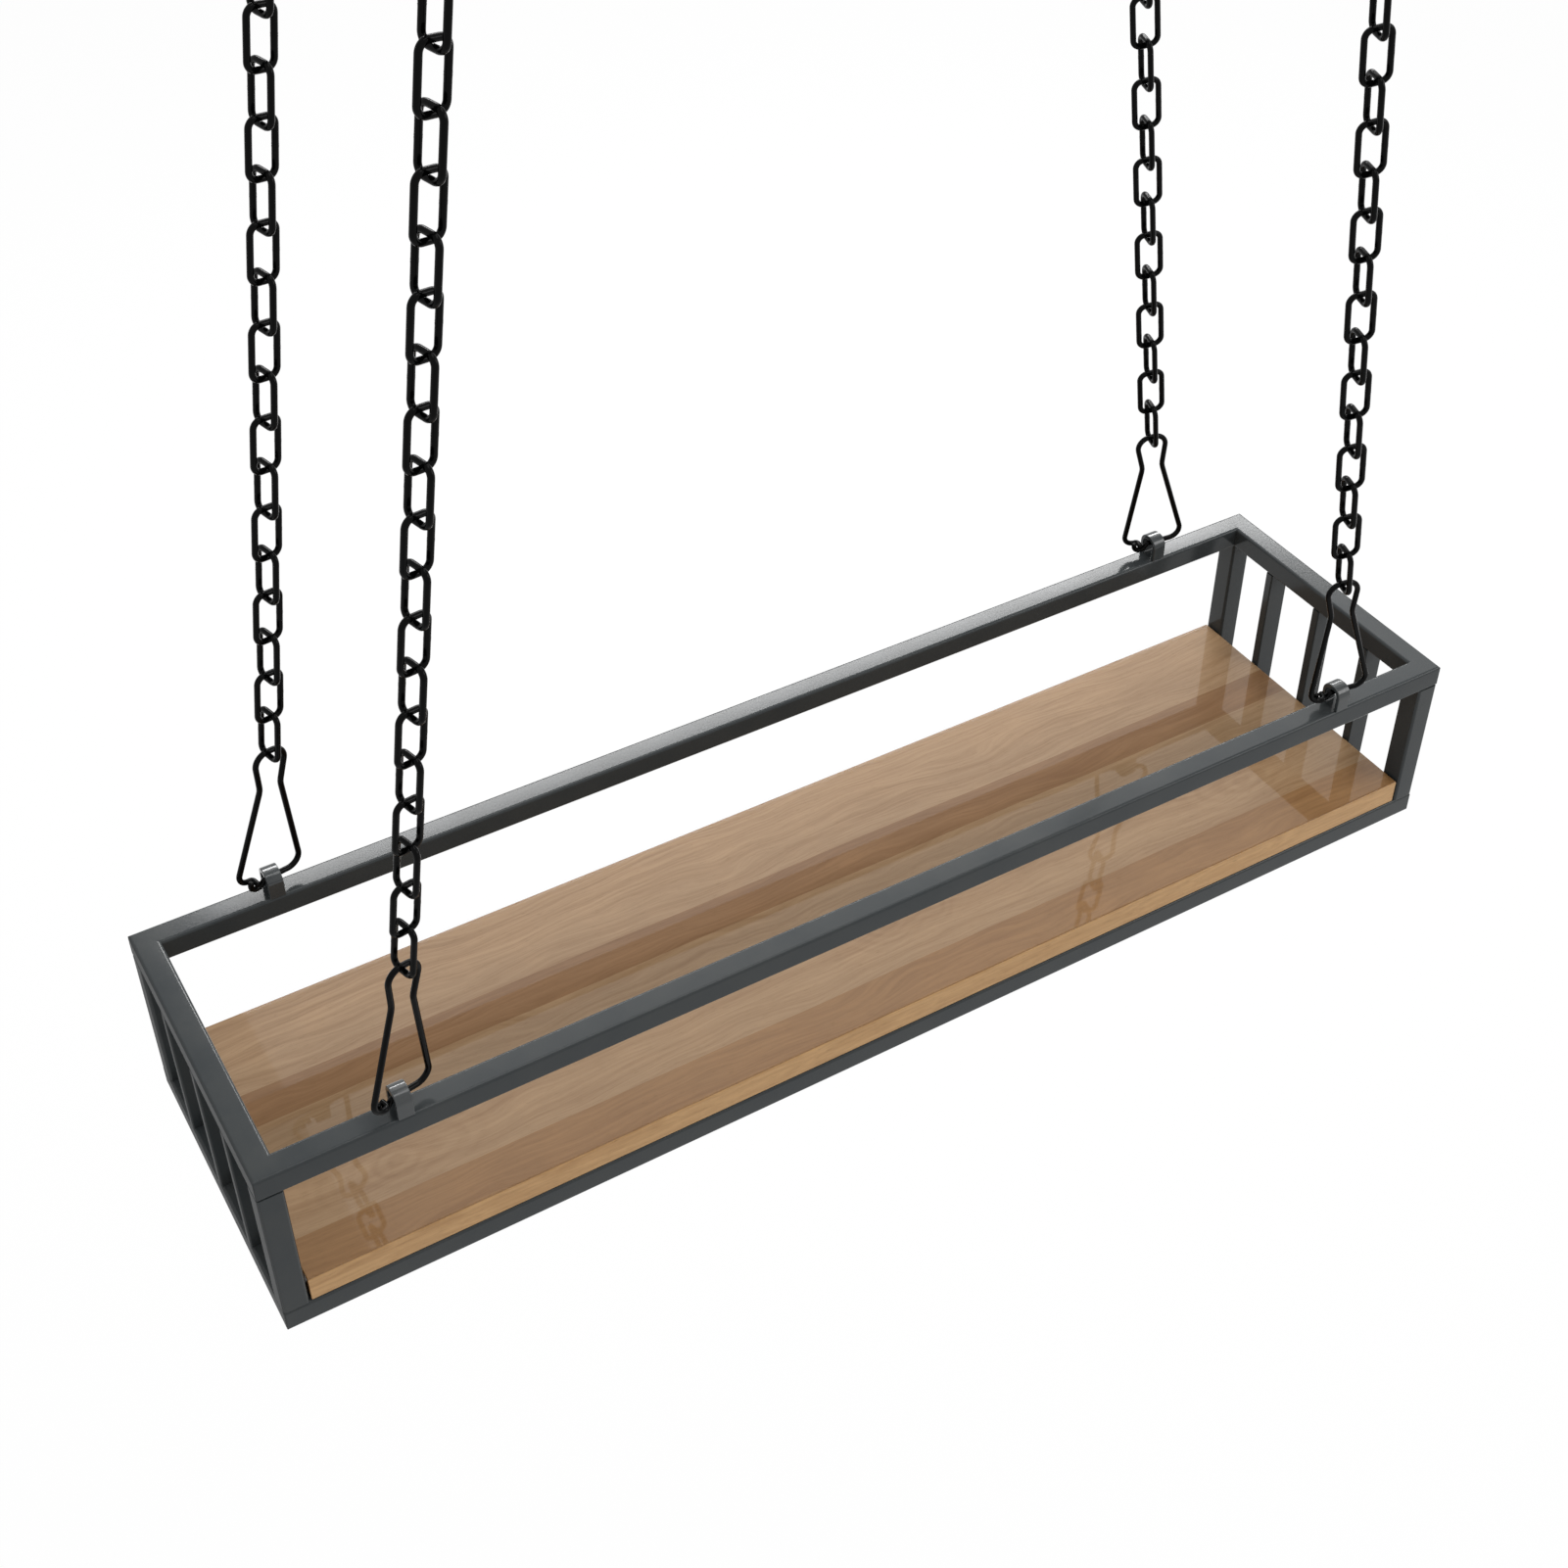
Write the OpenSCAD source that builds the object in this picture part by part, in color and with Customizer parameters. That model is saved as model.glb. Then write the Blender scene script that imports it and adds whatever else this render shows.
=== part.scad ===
// Hanging shelf for plants: a welded steel frame with a wooden board, hung from the
// ceiling on four chains. Millimetres, +Z up. The origin is the middle of the four
// screw hooks on the ceiling plane, and the shelf hangs below it. The front is -Y.

/* [Frame] */
// Overall length of the frame, left to right
frame_l = 640; // [540:10:900]
// Overall depth of the frame, front to back
frame_w = 160; // [120:5:240]
// Overall height of the frame
frame_h = 100; // [70:5:160]
// Side of the square tube
tube_w = 12; // [10:0.5:15]
// Wall of the square tube
tube_wall = 1.2; // [0.8:0.1:1.8]
// Outer corner radius of the square tube
tube_r = 1.5; // [0.5:0.1:2.5]

/* [End bars] */
// Thickness of each upright end bar, along the frame's depth
bar_t = 5; // [3:0.5:8]
// Distance between the centres of neighbouring end bars
bar_step = 38; // [20:1:52]
// Corner radius of the end bars
bar_r = 0.8; // [0.3:0.1:1.4]

/* [Board] */
// Thickness of the wooden board
board_t = 14; // [12:1:20]
// How far the board's long edges lie inside the frame's faces
board_recess = 0.5; // [0:0.1:3]
// Gap between each end of the board and the end bars
board_end_gap = 1; // [0.5:0.1:3]
// Rounding of the board's long edges
board_r = 1; // [0.3:0.1:3]

/* [Board screws] */
// Shank diameter of the screws under the board
screw_d = 3.5; // [3:0.5:4.5]
// Head diameter of the screws
screw_head_d = 7; // [6:0.5:8]
// Head height of the screws
screw_head_h = 2.2; // [1.6:0.1:3]
// How deep the screws reach into the board
screw_bite = 9; // [6:0.5:11]
// Distance between the screws along a rail
screw_step = 220; // [120:10:260]
// Access hole for the screwdriver in the rail's lower wall
screw_access_d = 8; // [7.5:0.5:9]

/* [Eyes] */
// Distance from each end of the frame to the middle of the eyes
eye_inset = 67; // [40:1:90]
// Width of the eye's strap, along the rail
eye_w = 7.5; // [5:0.5:9]
// Thickness of the eye's strap
eye_t = 2.2; // [1.6:0.1:2.4]
// Height of the eye above the rail
eye_h = 13; // [12:0.5:18]

/* [Ring hooks] */
// Diameter of the ring hook's wire
ring_wire = 2.8; // [2:0.1:3]
// Overall height of the ring hook
ring_h = 75; // [66:1:90]
// Width of the base between its corner points, along the wire's centre
ring_base_w = 33; // [30:1:40]
// Width of the waist, along the wire's centre
ring_waist_w = 10.8; // [9:0.2:14]
// Height of the waist above the base
ring_waist_z = 52.5; // [44:0.5:58]
// Width of the head between its corner points, along the wire's centre
ring_head_w = 17.2; // [16:0.2:22]
// Bend radius at the base corners
ring_base_r = 6; // [4:0.5:7]
// Bend radius at the waist
ring_waist_r = 10; // [6:1:16]
// Bend radius at the head
ring_head_r = 6.3; // [4.5:0.1:6.6]
// Turn of the right-hand ring hooks about the chain, from the rail's direction; the left ones mirror it
ring_turn = -16; // [-20:1:20]
// Distance from the ring hook's middle to its latch peg
latch_x = 8; // [7.4:0.1:8.4]

/* [Chain] */
// Diameter of the chain's wire
link_wire = 2.8; // [2:0.1:3.2]
// Inner length of a link
link_l = 21; // [16:0.5:30]
// Overall width of a link
link_w = 14.6; // [12:0.1:17]
// Bend radius at a link's corners, along the wire's centre
link_r = 3.8; // [3:0.1:4.5]
// Number of links in each chain, an odd number
link_count = 19; // [9:2:31]
// Turn of the right-hand chains about their own line; the left ones mirror it
chain_turn = -16; // [-20:1:20]

/* [Ceiling fittings] */
// Distance between the screw hooks along the shelf's length
ceiling_l = 370; // [300:5:490]
// Diameter of the screw hook's rod
hook_wire = 4; // [3:0.5:4.5]
// Radius of the hook's bowl, along the rod's centre
hook_r = 8; // [7:0.5:12]
// Radius of the bend between the shank and the bowl
neck_r = 5; // [3:0.5:8]
// How far the tip of the hook rises past the level of the bowl's centre, in degrees
tip_rise = 25; // [0:5:40]
// Straight shank between the collar and the neck
shank_l = 4; // [2:0.5:10]
// Diameter of the collar that holds the cover plate up
collar_d = 9; // [7:0.5:14]
// Thickness of the collar
collar_t = 2; // [1:0.5:4]
// Diameter of the cover plate
plate_d = 22; // [16:1:40]
// Thickness of the cover plate
plate_t = 2; // [1:0.5:4]
// Length of the screw above the ceiling plane
stud_l = 24; // [15:1:50]

/* [Fits] */
// Play between hanging wires
hang_gap = 0.3; // [0.2:0.05:0.5]
// Play between the ring hook and the eye's strap
eye_gap = 0.45; // [0.4:0.05:0.8]
// Play around the latch peg, and between the gate and the latch
latch_gap = 0.3; // [0.2:0.05:0.5]
// Gap between the ring hook and its gate at the waist
gate_gap = 1; // [0.8:0.1:1.5]
// Play around the screw hook in its cover plate, hidden by the collar
plate_gap = 1.2; // [1.2:0.1:1.4]
// Play around a screw in the rail
screw_gap = 0.25; // [0.1:0.05:0.5]
// Play around a screw in the board
pilot_gap = 0.05; // [0.02:0.01:0.1]
// Room past a screw's tip in the board
pilot_room = 1; // [0.5:0.1:1.5]

/* [Hidden] */
$fn = 48;

paint = "#3b4042";
wood = "#b08e66";
black = "#141414";
zinc = "#8d9092";

// Corners of the frame, as the side of X and the side of Y
front_left = [-1, -1];
front_right = [1, -1];
back_left = [-1, 1];
back_right = [1, 1];

// Places across the frame
tube_in_r = max(tube_r - tube_wall, 0.3);
rail_y = (frame_w - tube_w) / 2;
post_x = (frame_l - tube_w) / 2;
eye_x = frame_l / 2 - eye_inset;
hook_x = ceiling_l / 2;

// The ring hook's height between wire centres, and its latch and gate
ring_rise = ring_h - ring_wire;
latch_r = ring_wire + latch_gap;
gate_reach = ring_wire + latch_gap + 0.1;
gate_tilt = atan(gate_reach / ring_waist_z);
gate_base_z = ring_waist_z * (1 - 1 / cos(gate_tilt));
latch_run = 1.6;
latch_ramp = 2.8;
latch_bend_r = 1.8;
peg_end = ring_wire / 2 + 0.5;

// On open wires the bends are a hair thicker than the straights, which run into them
bend_swell = 0.04;
bend_lap = 0.1;

// Chain from the middle of the ring hook's base wire to the hook's bowl
link_pitch = link_l - hang_gap;
first_link = ring_rise - ring_wire / 2 - hang_gap + link_l / 2;
last_link = first_link + (link_count - 1) * link_pitch;
chain_l = last_link + link_l / 2 - hang_gap - hook_wire / 2;

// The chains lean in towards the ceiling, so that they span from the eyes to the hooks
lean = asin((eye_x - hook_x) / (chain_l + hook_r));

// Levels, counted down from the ceiling
neck_z = -plate_t - collar_t - shank_l;
neck_turn = acos(neck_r / (neck_r + hook_r));
bowl_z = neck_z - (neck_r + hook_r) * sin(neck_turn);
pivot_z = bowl_z - (chain_l + hook_r) * cos(lean);
slope_gap = eye_w / 2 * tan(abs(lean));
rail_top_z = pivot_z + ring_wire / 2 + eye_gap + slope_gap + eye_t - eye_h;
shelf_z = rail_top_z - frame_h;
board_z = shelf_z + tube_w;

function unit(v) = v / norm(v);
function left_of(v) = [-v[1], v[0]];
function turn_at(p, i) = let(n = len(p), a = unit(p[i] - p[(i + n - 1) % n]),
    b = unit(p[(i + 1) % n] - p[i])) acos(min(1, max(-1, a * b)));
function cut_back(p, r, i, closed) =
    !closed && (i == 0 || i == len(p) - 1) ? 0 : r[i] * tan(turn_at(p, i) / 2);

// Round wire bent in the XZ plane along the points p, with a bend radius at each
module bent_wire(p, r, d, closed = false) {
    n = len(p);
    lap = closed ? 0 : bend_lap;
    rotate([90, 0, 0]) union() {
        for (i = [0 : closed ? n - 1 : n - 2]) {
            k = (i + 1) % n;
            along = unit(p[k] - p[i]);
            start = p[i] + along * (cut_back(p, r, i, closed) - (r[i] > 0 ? lap : 0));
            end = p[k] - along * (cut_back(p, r, k, closed) - (r[k] > 0 ? lap : 0));
            translate([start[0], start[1], 0]) rotate([0, 0, atan2(along[1], along[0])])
                rotate([0, 90, 0]) cylinder(d = d, h = norm(end - start), $fn = 24);
        }
        for (i = [closed ? 0 : 1 : closed ? n - 1 : n - 2]) {
            a = unit(p[i] - p[(i + n - 1) % n]);
            b = unit(p[(i + 1) % n] - p[i]);
            side = a[0] * b[1] - a[1] * b[0] > 0 ? 1 : -1;
            middle = p[i] - a * cut_back(p, r, i, closed) + side * r[i] * left_of(a);
            first = side > 0 ? -left_of(a) : left_of(b);
            translate([middle[0], middle[1], 0]) rotate([0, 0, atan2(first[1], first[0])])
                rotate_extrude(angle = turn_at(p, i), $fn = 96)
                    translate([r[i], 0]) circle(d = closed ? d : d + bend_swell, $fn = 24);
        }
    }
}

module rounded_rect(w, h, r) {
    square([w, h - 2 * r], center = true);
    square([w - 2 * r, h], center = true);
    for (x = [-1, 1], y = [-1, 1])
        translate([x * (w / 2 - r), y * (h / 2 - r)]) circle(r = r);
}

module tube_section() {
    inner = tube_w - 2 * tube_wall;
    difference() {
        rounded_rect(tube_w, tube_w, tube_r);
        rounded_rect(inner, inner, tube_in_r);
    }
}

// Square tube along X with its outer face towards -Y and both ends mitred
module mitred_tube(length) {
    difference() {
        translate([-length / 2, 0, 0]) rotate([90, 0, 90]) linear_extrude(length) tube_section();
        for (side = [0, 1]) mirror([side, 0, 0])
            translate([length / 2, -tube_w / 2, 0]) rotate([0, 0, 45])
                translate([0, -2 * tube_w, -tube_w]) cube([2 * tube_w, 4 * tube_w, 2 * tube_w]);
    }
}

// One rail of a ring: turned to its side of the frame, at a level above the shelf's base
module rail(turn, length, reach, level) {
    color(paint) translate([0, 0, shelf_z + level]) rotate([0, 0, turn])
        translate([0, tube_w / 2 - reach, tube_w / 2]) mitred_tube(length);
}

module top_rail(turn, length, reach) {
    rail(turn, length, reach, frame_h - tube_w);
}

module bottom_rail(turn, length, reach) {
    rail(turn, length, reach, 0);
}

// A long bottom rail, drilled for the screws that hold the board
module drilled_rail(turn, side) {
    color(paint) difference() {
        bottom_rail(turn, frame_l, frame_w / 2);
        for (k = [-1 : 1]) translate([k * screw_step, side * rail_y, shelf_z]) {
            translate([0, 0, tube_w / 2]) cylinder(d = screw_d + 2 * screw_gap, h = tube_w);
            translate([0, 0, -tube_wall]) cylinder(d = screw_access_d, h = 3 * tube_wall);
        }
    }
}

module post(corner) {
    color(paint) translate([corner[0] * post_x, corner[1] * rail_y, shelf_z + tube_w])
        linear_extrude(frame_h - 2 * tube_w) tube_section();
}

module end_bar(side, k) {
    color(paint) translate([side * post_x, k * bar_step, shelf_z + tube_w])
        linear_extrude(frame_h - 2 * tube_w) rounded_rect(tube_w, bar_t, bar_r);
}

module board() {
    length = frame_l - 2 * tube_w - 2 * board_end_gap;
    color(wood) difference() {
        translate([-length / 2, 0, board_z + board_t / 2]) rotate([90, 0, 90])
            linear_extrude(length) rounded_rect(frame_w - 2 * board_recess, board_t, board_r);
        for (k = [-1 : 1], side = [-1, 1]) translate([k * screw_step, side * rail_y, board_z - pilot_room])
            cylinder(d = screw_d + 2 * pilot_gap, h = screw_bite + 2 * pilot_room);
    }
}

module board_screws() {
    color(zinc) for (k = [-1 : 1], side = [-1, 1])
        translate([k * screw_step, side * rail_y, board_z - tube_wall]) union() {
            translate([0, 0, -screw_head_h]) cylinder(d = screw_head_d, h = screw_head_h);
            cylinder(d = screw_d, h = tube_wall + screw_bite);
        }
}

// Strap bent over the rail, open along it
module eye(corner) {
    module arch(r) {
        translate([0, eye_h - tube_w / 2]) circle(r = r);
        translate([-r, 0]) square([2 * r, eye_h - tube_w / 2]);
    }
    color(paint) translate([corner[0] * eye_x - eye_w / 2, corner[1] * rail_y, rail_top_z])
        rotate([90, 0, 90]) linear_extrude(eye_w) difference() {
            arch(tube_w / 2);
            translate([0, -1]) arch(tube_w / 2 - eye_t);
            arch(tube_w / 2 - eye_t);
        }
}

// The line of a chain: local Z runs up it from the middle of the ring hook's base wire
module on_chain(corner, turn) {
    translate([corner[0] * eye_x, corner[1] * rail_y, pivot_z])
        rotate([0, -corner[0] * lean, 0]) rotate([0, 0, corner[0] * turn]) children();
}

// Gates open outwards, to the front on the front chains and to the back on the others
module outwards(corner) {
    if (corner[1] < 0) mirror([0, 1, 0]) children();
    else children();
}

// Wire bent from its latch round the base, the right side and the head to the left waist
module ring_hook(corner) {
    waist = [-ring_waist_w / 2, ring_waist_z];
    head = [-ring_head_w / 2, ring_rise];
    path = [[-latch_x - latch_r, 0.8 * ring_wire], [-latch_x - latch_r, -latch_r],
        [latch_run - latch_x, -latch_r], [latch_run + latch_ramp - latch_x, 0], [ring_base_w / 2, 0],
        [ring_waist_w / 2, ring_waist_z], [ring_head_w / 2, ring_rise], head,
        waist + gate_gap * unit(head - waist)];
    color(black) on_chain(corner, ring_turn) outwards(corner)
        bent_wire(path, [0, latch_r, latch_bend_r, latch_bend_r, ring_base_r, ring_waist_r,
            ring_head_r, ring_head_r, 0], ring_wire);
}

// Left arm of the ring hook, with a peg that lies in the latch
module gate(corner) {
    waist = [-ring_waist_w / 2, ring_waist_z];
    base = [-ring_base_w / 2, gate_base_z];
    color(black) on_chain(corner, ring_turn) outwards(corner) union() {
        translate([0, 0, ring_waist_z]) rotate([gate_tilt, 0, 0]) translate([0, 0, -ring_waist_z])
            bent_wire([waist + 0.2 * unit(base - waist), base, [-latch_x, gate_base_z]],
                [0, ring_base_r, 0], ring_wire);
        translate([-latch_x, gate_reach, 0]) sphere(d = ring_wire + bend_swell);
        translate([-latch_x, gate_reach, 0]) rotate([90, 0, 0])
            cylinder(d = ring_wire, h = gate_reach + peg_end);
    }
}

module chain_link() {
    x = (link_w - link_wire) / 2;
    z = (link_l + link_wire) / 2;
    bent_wire([[-x, -z], [x, -z], [x, z], [-x, z]], [link_r, link_r, link_r, link_r],
        link_wire, closed = true);
}

// Links alternate across and along the rail, from the ring hook up to the ceiling hook
module chain(corner) {
    color(black) on_chain(corner, chain_turn) for (i = [0 : link_count - 1])
        translate([0, 0, first_link + i * link_pitch]) rotate([0, 0, i % 2 == 0 ? 90 : 0])
            chain_link();
}

// Screw hook: stud above the ceiling, collar, neck, and a bowl under the stud's line
module ceiling_hook(corner) {
    lap_turn = bend_lap / hook_r * 180 / PI;
    bend = hook_wire + bend_swell;
    color(black) translate([corner[0] * hook_x, corner[1] * rail_y, 0])
        mirror([corner[0] < 0 ? 0 : 1, 0, 0]) union() {
            translate([0, 0, neck_z - bend_lap])
                cylinder(d = hook_wire, h = stud_l - neck_z + bend_lap);
            translate([0, 0, -plate_t - collar_t]) cylinder(d = collar_d, h = collar_t);
            translate([-neck_r, 0, neck_z]) rotate([90, 0, 0]) rotate([0, 0, -neck_turn])
                rotate_extrude(angle = neck_turn) translate([neck_r, 0]) circle(d = bend);
            translate([0, 0, bowl_z]) rotate([90, 0, 0]) rotate([0, 0, 180 - neck_turn - lap_turn])
                rotate_extrude(angle = neck_turn + 180 + tip_rise + lap_turn)
                    translate([hook_r, 0]) circle(d = hook_wire);
            translate([0, 0, bowl_z]) rotate([0, -tip_rise, 0]) translate([hook_r, 0, 0])
                sphere(d = bend);
        }
}

module ceiling_plate(corner) {
    color(black) translate([corner[0] * hook_x, corner[1] * rail_y, -plate_t]) difference() {
        cylinder(d = plate_d, h = plate_t);
        translate([0, 0, -plate_t]) cylinder(d = hook_wire + 2 * plate_gap, h = 3 * plate_t);
    }
}

top_rail(0, frame_l, frame_w / 2);  // rail_top_front
top_rail(90, frame_w, frame_l / 2);  // rail_top_right
top_rail(180, frame_l, frame_w / 2);  // rail_top_back
top_rail(270, frame_w, frame_l / 2);  // rail_top_left
drilled_rail(0, -1);  // rail_bottom_front
bottom_rail(90, frame_w, frame_l / 2);  // rail_bottom_right
drilled_rail(180, 1);  // rail_bottom_back
bottom_rail(270, frame_w, frame_l / 2);  // rail_bottom_left
post(front_left);  // post_front_left
post(front_right);  // post_front_right
post(back_left);  // post_back_left
post(back_right);  // post_back_right
end_bar(-1, -1);  // bar_left_front
end_bar(-1, 0);  // bar_left_middle
end_bar(-1, 1);  // bar_left_back
end_bar(1, -1);  // bar_right_front
end_bar(1, 0);  // bar_right_middle
end_bar(1, 1);  // bar_right_back
board();
board_screws();
eye(front_left);  // eye_front_left
eye(front_right);  // eye_front_right
eye(back_left);  // eye_back_left
eye(back_right);  // eye_back_right
ring_hook(front_left);  // ring_hook_front_left
ring_hook(front_right);  // ring_hook_front_right
ring_hook(back_left);  // ring_hook_back_left
ring_hook(back_right);  // ring_hook_back_right
gate(front_left);  // gate_front_left
gate(front_right);  // gate_front_right
gate(back_left);  // gate_back_left
gate(back_right);  // gate_back_right
chain(front_left);  // chain_front_left
chain(front_right);  // chain_front_right
chain(back_left);  // chain_back_left
chain(back_right);  // chain_back_right
ceiling_hook(front_left);  // ceiling_hook_front_left
ceiling_hook(front_right);  // ceiling_hook_front_right
ceiling_hook(back_left);  // ceiling_hook_back_left
ceiling_hook(back_right);  // ceiling_hook_back_right
ceiling_plate(front_left);  // ceiling_plate_front_left
ceiling_plate(front_right);  // ceiling_plate_front_right
ceiling_plate(back_left);  // ceiling_plate_back_left
ceiling_plate(back_right);  // ceiling_plate_back_right
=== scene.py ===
"""Dresses a hanging shelf: painted steel frame, lacquered board, black chains and hooks.

Lengths are in metres, but in millimetres inside the finishes. The origin lies on the ceiling
plane in the middle of the four screw hooks, +Z is up and the front is at -Y.
"""

import logging
import math
from dataclasses import dataclass
from enum import Enum
from typing import Self

import bmesh
import bpy
from mathutils import Matrix, Vector


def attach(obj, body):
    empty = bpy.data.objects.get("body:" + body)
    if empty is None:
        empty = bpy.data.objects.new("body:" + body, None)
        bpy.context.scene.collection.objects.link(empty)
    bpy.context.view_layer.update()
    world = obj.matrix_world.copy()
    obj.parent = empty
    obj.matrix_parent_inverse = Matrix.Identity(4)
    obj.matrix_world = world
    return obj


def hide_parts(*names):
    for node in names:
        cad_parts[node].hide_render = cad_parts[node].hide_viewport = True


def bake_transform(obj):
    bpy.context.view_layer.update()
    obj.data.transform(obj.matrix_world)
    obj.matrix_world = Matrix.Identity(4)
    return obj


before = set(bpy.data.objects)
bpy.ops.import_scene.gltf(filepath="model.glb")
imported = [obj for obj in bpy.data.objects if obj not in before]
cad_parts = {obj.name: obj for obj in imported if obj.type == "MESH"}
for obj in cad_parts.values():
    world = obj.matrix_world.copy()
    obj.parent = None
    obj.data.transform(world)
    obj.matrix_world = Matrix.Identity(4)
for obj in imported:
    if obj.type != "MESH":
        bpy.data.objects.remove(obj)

LOG = logging.getLogger("hanging_shelf")
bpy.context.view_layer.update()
UP = Vector((0.0, 0.0, 1.0))
# Distances at which two points count as one, and a lamp's watts per square metre at white.
NEAR = 1e-7
CLOSE = 1e-6
WATTS_AT_WHITE = 4.0

# Sizes and places that several pieces share.
FRAME_BASE = -0.59325415
FRAME_DEPTH = 0.160
FRAME_HEIGHT = 0.100
TUBE = 0.012
TUBE_WALL = 0.0012
RAIL_Y = (FRAME_DEPTH - TUBE) / 2
SCREW_STEP = 0.220
EYE_X = 0.253


def put(name: str, data: bpy.types.ID) -> bpy.types.Object:
    """Adds an object to the scene.

    Args:
        name: the object's name.
        data: its mesh, lamp or camera.

    Returns:
        The object.
    """
    thing = bpy.data.objects.new(name, data)
    bpy.context.scene.collection.objects.link(thing)
    return thing


class Slot(Enum):
    """The record's material slots."""

    FRAME = "frame_paint"
    WOOD = "board_wood"
    BLACK = "black_paint"
    ZINC = "screw_zinc"


class Corner(Enum):
    """The four corners of the shelf, as their sides of X and Y."""

    FRONT_LEFT = (-1, -1)
    FRONT_RIGHT = (1, -1)
    BACK_LEFT = (-1, 1)
    BACK_RIGHT = (1, 1)

    @property
    def label(self) -> str:
        """The corner's name as the pieces write it."""
        return self.name.lower()

    @property
    def x(self) -> int:
        """Side of X."""
        return self.value[0]

    @property
    def y(self) -> int:
        """Side of Y."""
        return self.value[1]


class Signal:
    """A value on its way through a material; arithmetic on it adds Math nodes."""

    def __init__(self, graph: "Graph", socket: bpy.types.NodeSocket) -> None:
        """Wraps an output socket."""
        self.graph = graph
        self.socket = socket

    def maths(self, operation: str, *others: "float | Signal", clamp: bool = False) -> "Signal":
        """Adds one Math node.

        Args:
            operation: the node's operation.
            others: the node's further operands.
            clamp: whether the result stays between 0 and 1.

        Returns:
            The node's result.
        """
        values = dict(enumerate((self, *others)))
        return self.graph.node("ShaderNodeMath", {"operation": operation, "use_clamp": clamp}, values)

    def __add__(self, other: "float | Signal") -> "Signal":
        """Sum."""
        return self.maths("ADD", other)

    def __sub__(self, other: "float | Signal") -> "Signal":
        """Difference."""
        return self.maths("SUBTRACT", other)

    def __mul__(self, other: "float | Signal") -> "Signal":
        """Product."""
        return self.maths("MULTIPLY", other)

    def __rsub__(self, other: float) -> "Signal":
        """Difference from a number."""
        return self.maths("MULTIPLY", -1.0) + other

    __radd__ = __add__
    __rmul__ = __mul__

    def squared(self) -> "Signal":
        """The value times itself."""
        return self * self

    def between(self, low: float, high: float) -> "Signal":
        """Where the value lies from low to high, taken to 0 to 1 and held there."""
        return ((self - low) * (1.0 / (high - low))).maths("ADD", 0.0, clamp=True)


class Graph:
    """The node tree of one material or world."""

    def __init__(self, tree: bpy.types.NodeTree) -> None:
        """Empties the tree and starts from it."""
        tree.nodes.clear()
        self.tree = tree

    def node(self, kind: str, settings: dict | None = None, inputs: dict | None = None,
             output: int | str = 0) -> Signal:
        """Adds a node, sets it up and joins its sockets.

        Args:
            kind: the node's type.
            settings: attributes of the node; "stops" fills a colour ramp.
            inputs: numbers, colours or signals by socket name or number.
            output: the socket that the result comes from.

        Returns:
            The node's output.
        """
        node = self.tree.nodes.new(kind)
        for name, value in (settings or {}).items():
            if name == "stops":
                ramp = node.color_ramp.elements
                while len(ramp) < len(value):
                    ramp.new(0.5)
                for stop, (place, colour) in zip(ramp, value):
                    stop.position, stop.color = place, (*colour, 1.0)
            else:
                setattr(node.color_ramp if name == "interpolation" else node, name, value)
        for name, value in (inputs or {}).items():
            if isinstance(value, Signal):
                self.tree.links.new(value.socket, node.inputs[name])
            elif isinstance(value, tuple) and len(value) == 3 and node.inputs[name].type == "RGBA":
                node.inputs[name].default_value = (*value, 1.0)
            else:
                node.inputs[name].default_value = value
        return Signal(self, node.outputs[output] if node.outputs else None)

    def place(self) -> tuple[Signal, Signal, Signal]:
        """Finds the point on the object, in millimetres.

        Returns:
            Its X, Y and Z.
        """
        coords = self.node("ShaderNodeTexCoord", output="Object")
        scaled = self.node("ShaderNodeVectorMath", {"operation": "SCALE"}, {0: coords, 3: 1000.0})
        split = self.node("ShaderNodeSeparateXYZ", inputs={0: scaled})
        sockets = split.socket.node.outputs
        return Signal(self, sockets[0]), Signal(self, sockets[1]), Signal(self, sockets[2])

    def vector(self, x: "float | Signal", y: "float | Signal", z: "float | Signal") -> Signal:
        """Joins three values to a vector."""
        return self.node("ShaderNodeCombineXYZ", inputs={0: x, 1: y, 2: z})

    def noise(self, where: Signal, scale: float, detail: float = 3.0, rough: float = 0.5) -> Signal:
        """Smooth noise from 0 to 1 at a point."""
        return self.node("ShaderNodeTexNoise", {"noise_dimensions": "3D"},
                         {"Vector": where, "Scale": scale, "Detail": detail, "Roughness": rough})

    def blend(self, share: "float | Signal", first: "tuple | Signal", second: "tuple | Signal",
              mode: str = "MIX") -> Signal:
        """Mixes two colours.

        Args:
            share: how much of the second colour shows.
            first: the colour below.
            second: the colour above.
            mode: how the two mix.

        Returns:
            The mixed colour.
        """
        settings = {"data_type": "RGBA", "blend_type": mode, "clamp_factor": True}
        return self.node("ShaderNodeMix", settings, {0: share, 6: first, 7: second}, output=2)

    def bump(self, height: Signal, strength: float, distance: float) -> Signal:
        """Turns a height into a normal."""
        return self.node("ShaderNodeBump", inputs={"Height": height, "Strength": strength,
                                                   "Distance": distance})

    def surface(self, **sockets: object) -> None:
        """Ends the tree in a Principled shader.

        Args:
            sockets: the shader's inputs by name, with an underscore for each space.
        """
        inputs = {name.replace("_", " "): value for name, value in sockets.items()}
        shader = self.node("ShaderNodeBsdfPrincipled", inputs=inputs)
        self.node("ShaderNodeOutputMaterial", inputs={"Surface": shader})


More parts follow.
